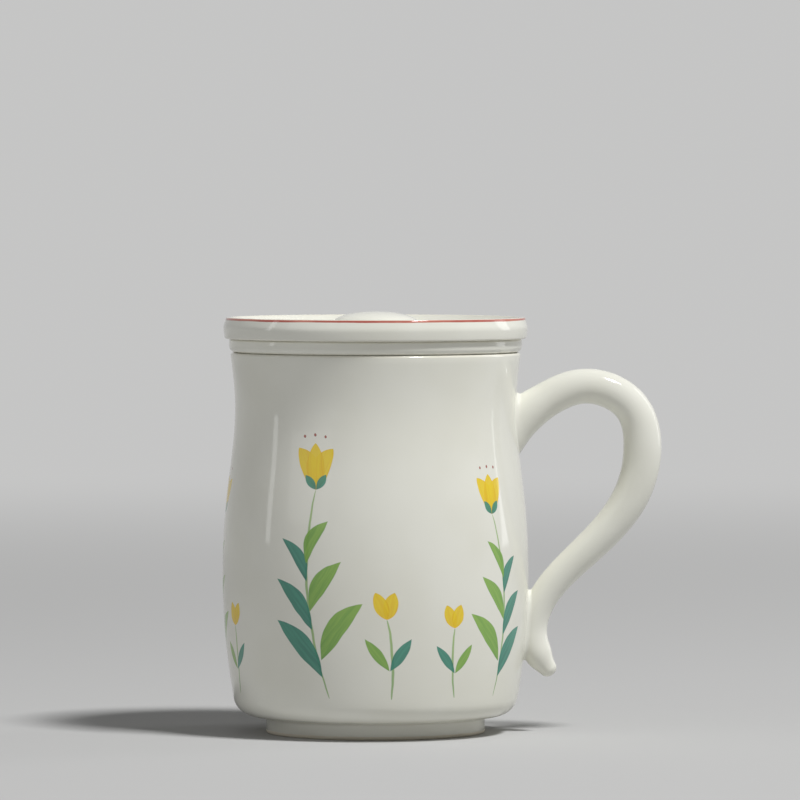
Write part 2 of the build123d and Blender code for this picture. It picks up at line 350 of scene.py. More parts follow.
BAND_BASE = BASKET_BASE + SIDE_START - SIDE_PITCH / 2
BAND_TOP = BAND_BASE + SIDE_PITCH * SIDE_ROWS
BAND_WALL = basket_radius(BAND_BASE) - basket_inside(BAND_BASE)
PLATE_RADIUS = basket_radius(BASKET_BASE) - BASKET_ROUND
HOLE_MOUTH = HOLE_RADIUS + HOLE_EDGE


def basket_outlines():
    """Plain stretches of the basket: the flange above the pierced band and the corners below it."""
    floor_top = BASKET_BASE + BASKET_FLOOR
    upper = rounded(
        (basket_radius(BAND_TOP) - BAND_WALL, BAND_TOP, 0),
        (BASKET_RADIUS - BASKET_WALL, SEAT_HEIGHT, BASKET_LIP),
        (FLANGE_RADIUS, SEAT_HEIGHT, FLANGE_EDGE),
        (FLANGE_RADIUS, RIM_HEIGHT, FLANGE_ROUND),
        (BASKET_RADIUS, RIM_HEIGHT, BASKET_NECK),
        (basket_radius(BAND_TOP), BAND_TOP, 0),
    )
    inner_corner = rounded(
        (PLATE_RADIUS, floor_top, 0),
        (basket_inside(floor_top), floor_top, BASKET_ROUND - BASKET_WALL),
        (basket_inside(BAND_BASE), BAND_BASE, 0),
    )
    outer_corner = rounded(
        (basket_radius(BAND_BASE), BAND_BASE, 0),
        (basket_radius(BASKET_BASE), BASKET_BASE, BASKET_ROUND),
        (PLATE_RADIUS, BASKET_BASE, 0),
    )
    return [upper, inner_corner, outer_corner]


def hole_outline():
    """Side of a hole in the floor with both edges softened, from its foot up."""
    middle = HOLE_EDGE * HOLE_EDGE_SHARE
    edge = [(HOLE_MOUTH, 0), (HOLE_RADIUS + middle, middle), (HOLE_RADIUS, HOLE_EDGE)]
    return edge + [(radius, BASKET_FLOOR - height) for radius, height in edge[::-1]]


# Node trees

class Wiring:
    """Adds nodes to a tree. A value that is a socket is linked, and any other is set."""

    def __init__(self, tree):
        self.tree = tree

    def add(self, kind, values=None, **settings):
        node = self.tree.nodes.new(kind)
        for name, value in settings.items():
            setattr(node, name, value)
        for key, value in (values or {}).items():
            if isinstance(value, bpy.types.NodeSocket):
                self.tree.links.new(value, node.inputs[key])
            else:
                node.inputs[key].default_value = value
        return node

    def first(self, kind, values=None, **settings):
        """First output of a new node."""
        return self.add(kind, values, **settings).outputs[0]

    def math(self, operation, *values, clamp=False):
        return self.first("ShaderNodeMath", dict(enumerate(values)), operation=operation, use_clamp=clamp)

    def plus(self, value, other):
        return self.math("ADD", value, other)

    def minus(self, value, other):
        return self.math("SUBTRACT", value, other)

    def over(self, value, other):
        return self.math("DIVIDE", value, other)

    def times(self, value, *others):
        for other in others:
            value = self.math("MULTIPLY", value, other)
        return value

    def vector(self, operation, *values):
        node = self.add("ShaderNodeVectorMath", dict(enumerate(values)), operation=operation)
        return node.outputs["Value" if operation in ("DOT_PRODUCT", "LENGTH") else "Vector"]

    def split(self, vector):
        return self.add("ShaderNodeSeparateXYZ", {0: vector}).outputs

    def merge(self, x, y, z):
        return self.first("ShaderNodeCombineXYZ", {0: x, 1: y, 2: z})

    def ramp(self, value, low, high, first=0.0, last=1.0):
        """Smooth step of a value from one level to another."""
        values = {"Value": value, "From Min": low, "From Max": high, "To Min": first, "To Max": last}
        return self.first("ShaderNodeMapRange", values, interpolation_type="SMOOTHSTEP")

    def tint(self, share, under, over):
        """Colour of one over another by a share."""
        return self.add("ShaderNodeMix", {0: share, 6: under, 7: over}, data_type="RGBA").outputs[2]

    def noise(self, place, scale, detail=2.0):
        return self.first("ShaderNodeTexNoise", {"Vector": place, "Scale": scale, "Detail": detail})

    def circle(self, resolution, radius):
        return self.first("GeometryNodeCurvePrimitiveCircle", {"Resolution": resolution, "Radius": radius})

    def shape(self, holder):
        """Geometry of an object."""
        return self.add("GeometryNodeObjectInfo", {"Object": holder}).outputs["Geometry"]

    def spread(self, points, instance):
        """Copies of a geometry on points, made real."""
        copies = self.first("GeometryNodeInstanceOnPoints", {"Points": points, "Instance": instance})
        return self.first("GeometryNodeRealizeInstances", {"Geometry": copies})

    def placed(self, geometry, places):
        return self.first("GeometryNodeSetPosition", {"Geometry": geometry, "Position": places})

    def raised(self, geometry, height):
        values = {"Geometry": geometry, "Translation": self.merge(0.0, 0.0, height)}
        return self.first("GeometryNodeTransform", values)

    def swept(self, path, profile):
        return self.first("GeometryNodeCurveToMesh", {"Curve": path, "Profile Curve": profile})

    def joined(self, *parts):
        node = self.add("GeometryNodeJoinGeometry")
        for part in parts:
            self.tree.links.new(part, node.inputs[0])
        return node.outputs[0]


def sockets(kind, *labels):
    """Labels of sockets with their one type."""
    return [(label, "NodeSocket" + kind) for label in labels]


def new_tree(name, kind, inputs, result):
    """Node tree with named inputs and one result, its wiring and its inputs."""
    tree = bpy.data.node_groups.new(name, kind)
    for label, socket_type in inputs:
        tree.interface.new_socket(label, in_out="INPUT", socket_type=socket_type)
    tree.interface.new_socket("Result", in_out="OUTPUT", socket_type=result)
    wiring = Wiring(tree)
    return tree, wiring, wiring.add("NodeGroupInput").outputs


TURNING_INPUTS = sockets("Object", "Outline") + sockets("Int", "Segments")
TURNING_INPUTS += sockets("Float", "Core", "Weld") + sockets("Material", "Glaze")


def turning(w, given):
    """Mesh turned about the axis. The outlines hold heights upside down and radii less the core."""
    return w.swept(w.circle(given["Segments"], given["Core"]), w.shape(given["Outline"]))


def finished(w, geometry, given):
    """Last nodes of a piece's tree: one smooth closed mesh in its material."""
    real = w.first("GeometryNodeRealizeInstances", {"Geometry": geometry})
    welded = w.first("GeometryNodeMergeByDistance", {"Geometry": real, "Distance": given["Weld"]})
    smooth = w.first("GeometryNodeSetShadeSmooth", {"Geometry": welded})
    coated = w.first("GeometryNodeSetMaterial", {"Geometry": smooth, "Material": given["Glaze"]})
    w.add("NodeGroupOutput", {0: coated})


def turned_tree():
    """A piece turned on the wheel."""
    tree, w, given = new_tree("turned", "GeometryNodeTree", TURNING_INPUTS, "NodeSocketGeometry")
    finished(w, turning(w, given), given)
    return tree


def pierced_band(w, given):
    """Tiles in rows, every other row moved along by half a tile, wrapped round the wall."""
    width, tile_height = given["Tile Width"], given["Tile Height"]
    columns = w.minus(given["Columns"], 1.0)
    rows = w.minus(given["Rows"], 1.0)
    values = {"Size X": w.times(columns, width), "Size Y": w.times(rows, tile_height)}
    values |= {"Vertices X": given["Columns"], "Vertices Y": given["Rows"]}
    grid = w.first("GeometryNodeMeshGrid", values)
    here = w.first("GeometryNodeInputPosition")
    x, y, _ = w.split(here)
    row = w.math("ROUND", w.plus(w.over(y, tile_height), w.over(rows, 2.0)))
    half_tile = w.over(width, 2.0)
    start = w.plus(x, w.times(columns, half_tile))
    along = w.plus(start, w.times(w.math("MODULO", row, 2.0), half_tile))
    points = w.placed(grid, w.merge(along, 0.0, w.times(w.plus(row, 0.5), tile_height)))
    flat = w.spread(points, w.shape(given["Tile"]))

    x, depth, height = w.split(here)
    turn = w.times(w.over(x, w.times(given["Columns"], width)), math.tau)
    radius = w.minus(w.plus(given["Band Radius"], w.times(height, given["Band Slope"])), depth)
    bent = w.merge(
        w.times(radius, w.math("COSINE", turn)),
        w.times(radius, w.math("SINE", turn)),
        w.plus(height, given["Band Base"]),
    )
    return w.placed(flat, bent)


def pierced_plate(w, given):
    """Floor with a hole in the middle and rings of holes round it."""
    hole = w.circle(given["Hole Sides"], given["Hole Radius"])
    seats = [w.first("GeometryNodeMeshLine", {"Count": 1})]
    for ring in range(1, HOLE_RINGS + 1):
        seats.append(w.circle(RING_HOLES * ring, w.times(given["Ring Pitch"], ring)))
    bores = w.joined(*[w.spread(points, hole) for points in seats])
    edge = w.circle(given["Segments"], given["Plate Radius"])
    base = given["Plate Base"]
    sheet = w.first("GeometryNodeFillCurve", {"Curve": w.joined(edge, bores)}, mode="TRIANGLES")
    upper = w.raised(sheet, w.plus(base, given["Plate Thickness"]))
    lower = w.first("GeometryNodeFlipFaces", {"Mesh": w.raised(sheet, base)})
    sides = w.raised(w.swept(bores, w.shape(given["Hole Outline"])), base)
    return upper, lower, sides


def basket_tree():
    """A turned basket with a band of pierced tiles and a pierced floor."""
    inputs = TURNING_INPUTS + sockets("Object", "Tile", "Hole Outline")
    inputs += sockets("Int", "Columns", "Rows", "Hole Sides")
    inputs += sockets("Float", "Tile Width", "Tile Height", "Band Base", "Band Radius", "Band Slope")
    inputs += sockets("Float", "Plate Radius", "Plate Base", "Plate Thickness", "Hole Radius", "Ring Pitch")
    tree, w, given = new_tree("pierced_basket", "GeometryNodeTree", inputs, "NodeSocketGeometry")
    finished(w, w.joined(turning(w, given), pierced_band(w, given), *pierced_plate(w, given)), given)
    return tree


def new_object(name, data):
    """Object at the origin, in the scene."""
    thing = bpy.data.objects.new(name, data)
    bpy.context.scene.collection.objects.link(thing)
    return thing


def curve_object(name, outlines, core):
    """Curve of outlines given as radius and height, laid out for turning."""
    curve = bpy.data.curves.new(name, "CURVE")
    curve.dimensions = "3D"
    for outline in outlines:
        kept = [outline[0]]
        for point in outline[1:]:
            if math.dist(point, kept[-1]) > WELD:
                kept.append(point)
        spline = curve.splines.new("POLY")
        spline.points.add(len(kept) - 1)
        for target, (radius, height) in zip(spline.points, kept):
            target.co = (radius - core, -height, 0, 1)
    return new_object(name, curve)


def grown(name, tree, glaze, values):
    """Piece that a node tree makes from named values, in its glaze."""
    values = values | {"Weld": WELD, "Glaze": glaze}
    holder = new_object(name + "_nodes", bpy.data.meshes.new(name + "_nodes"))
    modifier = holder.modifiers.new(name, "NODES")
    modifier.node_group = tree
    for socket in tree.interface.items_tree:
        if socket.in_out == "INPUT":
            modifier[socket.identifier] = values[socket.name]
    evaluated = holder.evaluated_get(bpy.context.evaluated_depsgraph_get())
    mesh = bpy.data.meshes.new_from_object(evaluated)
    mesh.name = name
    bpy.data.objects.remove(holder)
    for value in values.values():
        if isinstance(value, bpy.types.Object):
            bpy.data.objects.remove(value)
    return new_object(name, mesh)


def dressed(piece, body, node):
    """Let a piece stand for a node, on its body."""
    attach(piece, body)
    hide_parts(node)


# Finishes

IVORY = ((0.836, 0.834, 0.757, 1), (0.802, 0.798, 0.712, 1))  # clear and clouded
THIN_GLAZE = (0.742, 0.686, 0.545, 1)
SPECK = (0.30, 0.23, 0.15, 1)
BISCUIT = (0.70, 0.655, 0.565, 1)
LINE_RED = ((0.430, 0.062, 0.036, 1), (0.560, 0.160, 0.105, 1))  # full and thin

SMOOTH_DETAIL = 1.0  # of a noise
FINE_DETAIL = 3.0
GLAZE_ROUGHNESS = 0.06
CLOUD_ROUGHNESS = 0.09
BISCUIT_ROUGHNESS = 0.85
GLAZE_IOR = 1.52
CLOUD_SCALE = 38
CLOUD_LEVELS = (0.35, 0.7)
EDGE_SCALE = 228
EDGE_STRENGTH = 0.55
RIPPLE_SCALE = 75
RIPPLE_DEPTH = 0.00003
PEEL_SCALE = 620
PEEL_DEPTH = 0.0000022
SPECK_SCALE = 120
SPECK_SIZE = 0.035
SPECK_CHOICE = 0.93
SPECK_STRENGTH = 0.45

# Heights near which the glaze runs thin, and how far
THIN_ON_CUP = ((RIM_HEIGHT, 0.0012), (FOOT_HEIGHT, 0.0012))
THIN_ON_PLAIN = ((SEAT_HEIGHT, 0.0008), (RIM_HEIGHT, 0.0006))
THIN_ON_LID = ((LID_TOP, 0.0007), (SEAT_HEIGHT, 0.0005))


def blank(owner):
    """Wiring of the emptied node tree of a material or world."""
    owner.use_nodes = True
    owner.node_tree.nodes.clear()
    return Wiring(owner.node_tree)


def glazed(name, paint, edges):
    """Clear gloss glaze over ivory clay, with paint under it and thin near some heights."""
    material = bpy.data.materials.new(name)
    w = blank(material)
    place = w.add("ShaderNodeTexCoord").outputs["Object"]
    height = w.split(place)[2]

    cloud = w.ramp(w.noise(place, CLOUD_SCALE), *CLOUD_LEVELS)
    colour = w.tint(cloud, *IVORY)
    for level, reach in edges:
        away = w.math("ABSOLUTE", w.minus(height, level))
        nearness = w.ramp(away, reach, 0.0, 0.0, EDGE_STRENGTH)
        colour = w.tint(w.times(nearness, w.noise(place, EDGE_SCALE)), colour, THIN_GLAZE)
    cells = w.add("ShaderNodeTexVoronoi", {"Vector": place, "Scale": SPECK_SCALE})
    chosen = w.math("GREATER_THAN", w.split(cells.outputs["Color"])[0], SPECK_CHOICE)
    dot = w.ramp(cells.outputs["Distance"], SPECK_SIZE, SPECK_SIZE / 2)
    colour = w.tint(w.times(chosen, dot, SPECK_STRENGTH), colour, SPECK)
    roughness = w.ramp(cloud, 0.0, 1.0, GLAZE_ROUGHNESS, CLOUD_ROUGHNESS)
    if paint:
        colour, roughness = paint(w, place, colour, roughness)

    ripple = w.times(w.noise(place, RIPPLE_SCALE, SMOOTH_DETAIL), RIPPLE_DEPTH)
    peel = w.times(w.noise(place, PEEL_SCALE, SMOOTH_DETAIL), PEEL_DEPTH)
    relief = w.first("ShaderNodeBump", {"Height": w.plus(ripple, peel), "Distance": 1.0})
    values = {"Base Color": colour, "Roughness": roughness, "Normal": relief, "IOR": GLAZE_IOR}
    w.add("ShaderNodeOutputMaterial", {"Surface": w.first("ShaderNodeBsdfPrincipled", values)})
    return material


# Painted sprigs, repeated round the cup. A paint is its thin and its pooled colour.
TEAL = ((0.050, 0.290, 0.205, 1), (0.022, 0.175, 0.135, 1))
LEAF_GREEN = ((0.250, 0.460, 0.075, 1), (0.130, 0.330, 0.050, 1))
YELLOW = ((0.870, 0.640, 0.020, 1), (0.780, 0.430, 0.010, 1))
STAMEN_RED = ((0.33, 0.045, 0.025, 1), (0.33, 0.045, 0.025, 1))

# A brush is the power that shapes a stroke's width and the strength of its paint
STEM_BRUSH = (0.25, 0.75)
LEAF_BRUSH = (1.0, 0.95)
PETAL_BRUSH = (0.8, 0.97)
DOT_BRUSH = (0.5, 0.9)

# How the paint lies in a stroke
STROKE_SOFTNESS = 0.00020
STROKE_RIM = 0.00055
RIM_POOL = 0.3
ROOT_POOL = 0.5
HAIR_SCALE = 1500.0
HAIR_DRAW = 0.05  # share of the length that the hairs' noise sees
HAIR_LEVELS = (0.32, 0.72)
HAIR_POOLS = (-0.25, 0.45)
POOL_STRENGTH = 0.85

# Sizes of a sprig
SPRIG_COUNT = 5
SPRIG_TURN = 0.75
SPRIG_BASE = 0.0125
SPRIG_HEIGHT = 0.060
SPRIG_BOW = 0.004
SPRIG_SIZES = (0.86, 1.08)
SPRIG_LEANS = (-0.08, 0.12)
STEM_HALF_WIDTH = 0.00050
LEAF_PAIRS = 3
LEAF_START_SHARE = 0.10
LEAF_STEP_SHARE = 0.23
LEAF_STAGGER_SHARE = 0.12
LEAF_LENGTH = 0.0215
LEAF_HALF_WIDTH = 0.0030
LEAF_BOW_SHARE = 0.09
LEAF_SPREAD = 40
LEAF_SPREAD_LOSS = 4
LEAF_SHRINK_SHARE = 0.16
PETAL_LENGTH = 0.0132
PETAL_HALF_WIDTH = 0.0031
PETAL_BOW_SHARE = 0.10
PETAL_SPREAD = 26
SEPAL_SHARE = 0.42
SEPAL_SPREAD = 38
DOT_RADIUS = 0.00050
DOT_PLACE_SHARE = 1.18
DOT_SPREAD = 13
SHOOT_PLACE = 0.019
SHOOT_HEIGHT = 0.023
SHOOT_BOW = -0.001
SHOOT_LEAF_SHARE = 0.55
SHOOT_LEAF_PLACE_SHARE = 0.35
SHOOT_LEAF_SPREAD = 36
SHOOT_PETAL_SHARE = 0.62
SHOOT_PETAL_WIDTH_SHARE = 0.72
SHOOT_PETAL_SPREAD = 20

# Unsteady hand, and the bare foot ring
WAVER_SCALE = 170.0
WAVER = 0.0008
BARE_HEIGHT = 0.0011
BARE_SOFTNESS = 0.0003
BARE_SWAY_SCALE = 300.0
BARE_SWAY = 0.0004
GRAIN_SCALE = 1500.0
OUTSIDE = "outside"


def brush_stroke():
    """Node group of one brush stroke from a root to a tip, laid over a colour."""
    inputs = sockets("Color", "Under", "Paint", "Pooled") + sockets("Vector", "Spot", "Root", "Tip")
    inputs += sockets("Float", "Bow", "Half Width", "Fullness", "Strength")
    tree, w, given = new_tree("brush_stroke", "ShaderNodeTree", inputs, "NodeSocketColor")
    under, thin, pooled, spot, root, tip, bow, half_width, fullness, strength, *_ = given
    line = w.vector("SUBTRACT", tip, root)
    off = w.vector("SUBTRACT", spot, root)
    length = w.vector("LENGTH", line)
    along = w.over(w.vector("DOT_PRODUCT", off, line), w.times(length, length))
    across = w.over(w.split(w.vector("CROSS_PRODUCT", line, off))[2], length)
    rest = w.minus(1.0, along)
    swell = w.math("MAXIMUM", w.times(along, rest, 4.0), 0.0)
    side = w.math("ABSOLUTE", w.minus(across, w.times(bow, swell)))
    inset = w.minus(w.times(half_width, w.math("POWER", swell, fullness)), side)
    cover = w.math("DIVIDE", inset, STROKE_SOFTNESS, clamp=True)
    hairs = w.merge(across, w.times(along, length, HAIR_DRAW), w.split(root)[1])
    streak = w.ramp(w.noise(hairs, HAIR_SCALE), *HAIR_LEVELS, *HAIR_POOLS)
    rim = w.ramp(inset, STROKE_RIM, STROKE_SOFTNESS, 0.0, RIM_POOL)
    pool = w.plus(w.times(rest, ROOT_POOL), w.plus(streak, rim))
    paint = w.tint(w.math("MULTIPLY", pool, POOL_STRENGTH, clamp=True), thin, pooled)
    w.add("NodeGroupOutput", {0: w.tint(w.times(cover, strength), under, paint)})
    return tree


def leaning(degrees):
    """Direction that leans left from straight up."""
    angle = math.radians(degrees)
    return Vector((-math.sin(angle), math.cos(angle)))


def sprig_strokes():
    """Strokes of a flowering sprig: root, tip, bow, half width, brush and paint."""
    top = Vector((0, SPRIG_HEIGHT))
    strokes = [(Vector((0, 0)), top, SPRIG_BOW, STEM_HALF_WIDTH, STEM_BRUSH, LEAF_GREEN)]
    for pair in range(LEAF_PAIRS):
        share = LEAF_START_SHARE + LEAF_STEP_SHARE * pair
        root = Vector((-SPRIG_BOW * 4 * share * (1 - share), SPRIG_HEIGHT * share))
        size = 1 - LEAF_SHRINK_SHARE * pair
        for side, paint in ((1, TEAL), (-1, LEAF_GREEN)):
            away = leaning(side * (LEAF_SPREAD - LEAF_SPREAD_LOSS * pair))
            foot = root + leaning(0) * LEAF_LENGTH * LEAF_STAGGER_SHARE * (1 - side)
            tip = foot + away * LEAF_LENGTH * size
            bow = -side * LEAF_LENGTH * LEAF_BOW_SHARE
            strokes.append((foot, tip, bow, LEAF_HALF_WIDTH * size, LEAF_BRUSH, paint))
    for side in (-1, 1, 0):
        tip = top + leaning(side * PETAL_SPREAD) * PETAL_LENGTH
        bow = -side * PETAL_LENGTH * PETAL_BOW_SHARE
        strokes.append((top, tip, bow, PETAL_HALF_WIDTH, PETAL_BRUSH, YELLOW))
    for side in (-1, 1):
        tip = top + leaning(side * SEPAL_SPREAD) * PETAL_LENGTH * SEPAL_SHARE
        strokes.append((top, tip, 0, PETAL_HALF_WIDTH * SEPAL_SHARE, LEAF_BRUSH, TEAL))
    for side in (-1, 0, 1):
        centre = top + leaning(side * DOT_SPREAD) * PETAL_LENGTH * DOT_PLACE_SHARE
        reach = Vector((0, DOT_RADIUS))
        strokes.append((centre - reach, centre + reach, 0, DOT_RADIUS, DOT_BRUSH, STAMEN_RED))
    return strokes


def shoot_strokes():
    """Strokes of the small shoot beside a sprig."""
    root = Vector((SHOOT_PLACE, 0))
    crown = Vector((SHOOT_PLACE, SHOOT_HEIGHT))
    strokes = [(root, crown, SHOOT_BOW, STEM_HALF_WIDTH, STEM_BRUSH, LEAF_GREEN)]
    for side, paint in ((1, LEAF_GREEN), (-1, TEAL)):
        foot = root + (crown - root) * SHOOT_LEAF_PLACE_SHARE
        tip = foot + leaning(side * SHOOT_LEAF_SPREAD) * LEAF_LENGTH * SHOOT_LEAF_SHARE
        strokes.append((foot, tip, 0, LEAF_HALF_WIDTH * SHOOT_LEAF_SHARE, LEAF_BRUSH, paint))
    for side in (-1, 1):
        tip = crown + leaning(side * SHOOT_PETAL_SPREAD) * PETAL_LENGTH * SHOOT_PETAL_SHARE
        strokes.append((crown, tip, 0, PETAL_HALF_WIDTH * SHOOT_PETAL_WIDTH_SHARE, PETAL_BRUSH, YELLOW))
    return strokes


def painted_sprigs(w, place, colour, roughness):
    """Sprigs painted round the cup under the glaze, and the bare foot ring."""
    x, y, height = w.split(place)
    turn = w.over(w.math("ARCTAN2", x, w.times(y, -1.0)), math.tau)
    sector = w.plus(w.times(turn, SPRIG_COUNT), SPRIG_COUNT + SPRIG_TURN)
    begun = w.math("FLOOR", sector)
    number = w.math("MODULO", begun, SPRIG_COUNT)
    width = math.tau / SPRIG_COUNT * BELLY_RADIUS
    sideways = w.times(w.minus(w.minus(sector, begun), 0.5), width)
    chance = w.add("ShaderNodeTexWhiteNoise", {"W": number}, noise_dimensions="1D").outputs["Color"]
    size_chance, lean_chance, _ = w.split(chance)
    size = w.ramp(size_chance, 0.0, 1.0, *SPRIG_SIZES)
    lean = w.ramp(lean_chance, 0.0, 1.0, *SPRIG_LEANS)
    side = w.minus(1.0, w.times(w.math("MODULO", number, 2.0), 2.0))
    raised = w.minus(height, SPRIG_BASE)
    leant = w.minus(w.times(sideways, side), w.times(lean, raised))
    flat = w.merge(w.over(leant, size), w.over(raised, size), 0.0)
    waver = w.noise(place, WAVER_SCALE, SMOOTH_DETAIL).node.outputs["Color"]
    drift = w.vector("MULTIPLY", w.vector("SUBTRACT", waver, (0.5, 0.5, 0.5)), (WAVER, WAVER, 0.0))
    spot = w.vector("ADD", flat, drift)
    outside = w.add("ShaderNodeAttribute", attribute_name=OUTSIDE).outputs["Fac"]
    stroke = brush_stroke()
    for root, tip, bow, half_width, (fullness, strength), paint in sprig_strokes() + shoot_strokes():
        places = spot, (*root, 0), (*tip, 0)
        values = colour, *paint, *places, bow, half_width, fullness, w.times(outside, strength)
        colour = w.first("ShaderNodeGroup", dict(enumerate(values)), node_tree=stroke)
    ragged = w.plus(height, w.times(w.noise(place, BARE_SWAY_SCALE), BARE_SWAY))
    bare = w.ramp(ragged, BARE_HEIGHT + BARE_SOFTNESS, BARE_HEIGHT)
    grain = w.tint(w.noise(place, GRAIN_SCALE, FINE_DETAIL), BISCUIT, THIN_GLAZE)
    rough = w.first("ShaderNodeMix", {"Factor": bare, "A": roughness, "B": BISCUIT_ROUGHNESS})
    return w.tint(bare, colour, grain), rough


# Red line
LINE_TOP_DROP = 0.00022
LINE_WIDTH = 0.00062
LINE_SOFTNESS = 0.00010
LINE_STRENGTH = 0.93
LINE_SWAY_SCALE = 45.0
LINE_SWAY = 0.0003
LINE_SWELL_SCALE = 70.0
LINE_SWELL = 0.0003
LINE_THIN_SCALE = 90.0
LINE_THIN_LEVELS = (0.4, 0.7)


def painted_line(w, place, colour, roughness):
    """Thin red line drawn by hand round the outer edge of the lid's rim."""
    x, y, height = w.split(place)
    radius = w.math("SQRT", w.plus(w.times(x, x), w.times(y, y)))
    sway = w.times(w.minus(w.noise(place, LINE_SWAY_SCALE, FINE_DETAIL), 0.5), LINE_SWAY)
    drop = w.plus(w.minus(LID_TOP, height), sway)
    swell = w.times(w.noise(place, LINE_SWELL_SCALE), LINE_SWELL)
    bottom = w.plus(swell, LINE_TOP_DROP + LINE_WIDTH - LINE_SWELL / 2)
    upper = w.ramp(drop, LINE_TOP_DROP - LINE_SOFTNESS, LINE_TOP_DROP)
    lower = w.ramp(w.minus(drop, bottom), 0.0, -LINE_SOFTNESS)
    outside = w.math("GREATER_THAN", radius, LID_RADIUS - LID_RIM_LEAN - LID_CREST / 2)
    thin = w.ramp(w.noise(place, LINE_THIN_SCALE, FINE_DETAIL), *LINE_THIN_LEVELS)
    line = w.tint(thin, *LINE_RED)
    return w.tint(w.times(upper, lower, outside, LINE_STRENGTH), colour, line), roughness


# Handle

def unit(vectors):
    """Vectors at unit length."""
    return vectors / np.linalg.norm(vectors, axis=-1, keepdims=True)


def rod_stations():
    """Centres of the rod and shares of its full section, from the upper root to the tail."""
    root_height = RIM_HEIGHT - UPPER_ROOT_DROP
    root = np.array((wall_radius(root_height), root_height))
    rise = RIM_HEIGHT - ROD_TOP_DROP - LOWER_ROOT_HEIGHT
    reach = handle_high.x - BELLY_RADIUS - ROD_THICKNESS / 2
    places = [root - heading(UPPER_ROOT_PITCH) * ROOT_SINK, root]
    shares = [SUNK_ROOT_SHARE, UPPER_ROOT_SHARE]
    for out_share, rise_share, section_share in LOOP_SHARES:
        places.append((BELLY_RADIUS + reach * out_share, LOWER_ROOT_HEIGHT + rise * rise_share))
        shares.append(section_share)
    lower = np.array((wall_radius(LOWER_ROOT_HEIGHT) + LOWER_ROOT_STANDOFF, LOWER_ROOT_HEIGHT))
    tip = np.array((wall_radius(TAIL_HEIGHT) + TAIL_STANDOFF, TAIL_HEIGHT))
    neck = lower + (tip - lower) * TAIL_NECK_PLACE_SHARES
    return places + [lower, neck, tip], shares + [LOWER_ROOT_SHARE, TAIL_NECK_SHARE, TAIL_TIP_SHARE]


class Rod:
    """The handle's tapering rod: points on it by length along it and angle round it."""

    def __init__(self):
        places, shares = rod_stations()
        ends = heading(UPPER_ROOT_PITCH), heading(-TAIL_PITCH)
        centres, marks, knots = flowing(places, *ends, ROD_SAMPLES)
        sections = np.interp(marks, knots, shares)
        kernel = np.hanning(2 * ROD_SMOOTHING + 1)
        padded = np.pad(sections, ROD_SMOOTHING, mode="edge")
        sections = np.convolve(padded, kernel / kernel.sum(), mode="valid")
        directions = unit(np.gradient(centres, marks, axis=0))
        turn = math.radians(TAIL_TAPER)
        tip_radius = ROD_THICKNESS * sections[-1] / 2 / math.cos(turn)
        turns = np.linspace(turn, math.pi / 2, TIP_RINGS + 1)[1:]
        beyond = tip_radius * (np.sin(turns) - math.sin(turn))
        self.marks = np.concatenate([marks, marks[-1] + beyond])
        self.centres = np.vstack([centres, centres[-1] + directions[-1] * beyond[:, None]])
        self.directions = np.vstack([directions, np.repeat(directions[-1:], TIP_RINGS, axis=0)])
        self.sections = np.concatenate([sections, sections[-1] * np.cos(turns) / math.cos(turn)])

    def at(self, values, mark):
        """Centres or directions at lengths along the rod."""
        return np.stack([np.interp(mark, self.marks, column) for column in values.T], axis=-1)

    def point(self, mark, angle):
        """Point on the rod's surface."""
        centre = self.at(self.centres, mark)
        along = self.at(self.directions, mark)
        share = np.interp(mark, self.marks, self.sections)
        out = np.cos(angle) * share * ROD_THICKNESS / 2
        x = centre[..., 0] - along[..., 1] * out
        z = centre[..., 1] + along[..., 0] * out
        return np.stack([x, np.sin(angle) * share * ROD_WIDTH / 2, z], axis=-1)

    def onto(self, point, sink=0.0):
        """Point moved straight out or in to the rod's surface, or this far under it."""
        flat = point[[0, 2]]
        index = int(np.argmin(np.linalg.norm(self.centres - flat, axis=1)))
        mark = self.marks[index] + (flat - self.centres[index]) @ self.directions[index]
        centre, along = self.at(self.centres, mark), self.at(self.directions, mark)
        outwards = np.array((-along[1], along[0]))
        out = (flat - centre) @ outwards
        share = np.interp(mark, self.marks, self.sections)
        half = share * np.array((ROD_THICKNESS, ROD_WIDTH)) / 2 - sink
        factor = 1 / math.hypot(out / half[0], point[1] / half[1])
        moved = centre + outwards * out * factor
        return np.array((moved[0], point[1] * factor, moved[1]))


def wall_gap(points):
    """How far points lie outside the cup's wall."""
    return np.hypot(points[..., 0], points[..., 1]) - wall_radius(points[..., 2])


def onto_wall(point, sink=0.0):
    """Point moved straight out or in to the wall's surface, or this far under it."""
    x, y, z = point
    factor = (wall_radius(z) - sink) / math.hypot(x, y)
    return np.array((x * factor, y * factor, z))


def wall_normal(point):
    """Outward direction of the cup's wall."""
    x, y, z = point
    slope = (wall_radius(z + SLOPE_STEP) - wall_radius(z - SLOPE_STEP)) / (2 * SLOPE_STEP)
    radius = math.hypot(x, y)
    return unit(np.array((x / radius, y / radius, -slope)))


def first_crossing(rod, marks, angles):
    """Place along a way on the rod where it first comes out of the wall."""
    gaps = wall_gap(rod.point(marks, angles))
    index = int(np.argmax(gaps > 0))
    share = gaps[index - 1] / (gaps[index - 1] - gaps[index])
    return [way[index - 1] + (way[index] - way[index - 1]) * share for way in (marks, angles)]


ROOT_ANGLES = np.linspace(0, math.tau, ROOT_SIDES, endpoint=False)


def upper_root(rod):
    """Places on the rod where it leaves the wall at its upper root."""
    ways = np.linspace(0, rod.marks[-1] * UPPER_ROOT_END_SHARE, ROOT_TRIES)
    return [first_crossing(rod, ways, np.full_like(ways, angle)) for angle in ROOT_ANGLES]


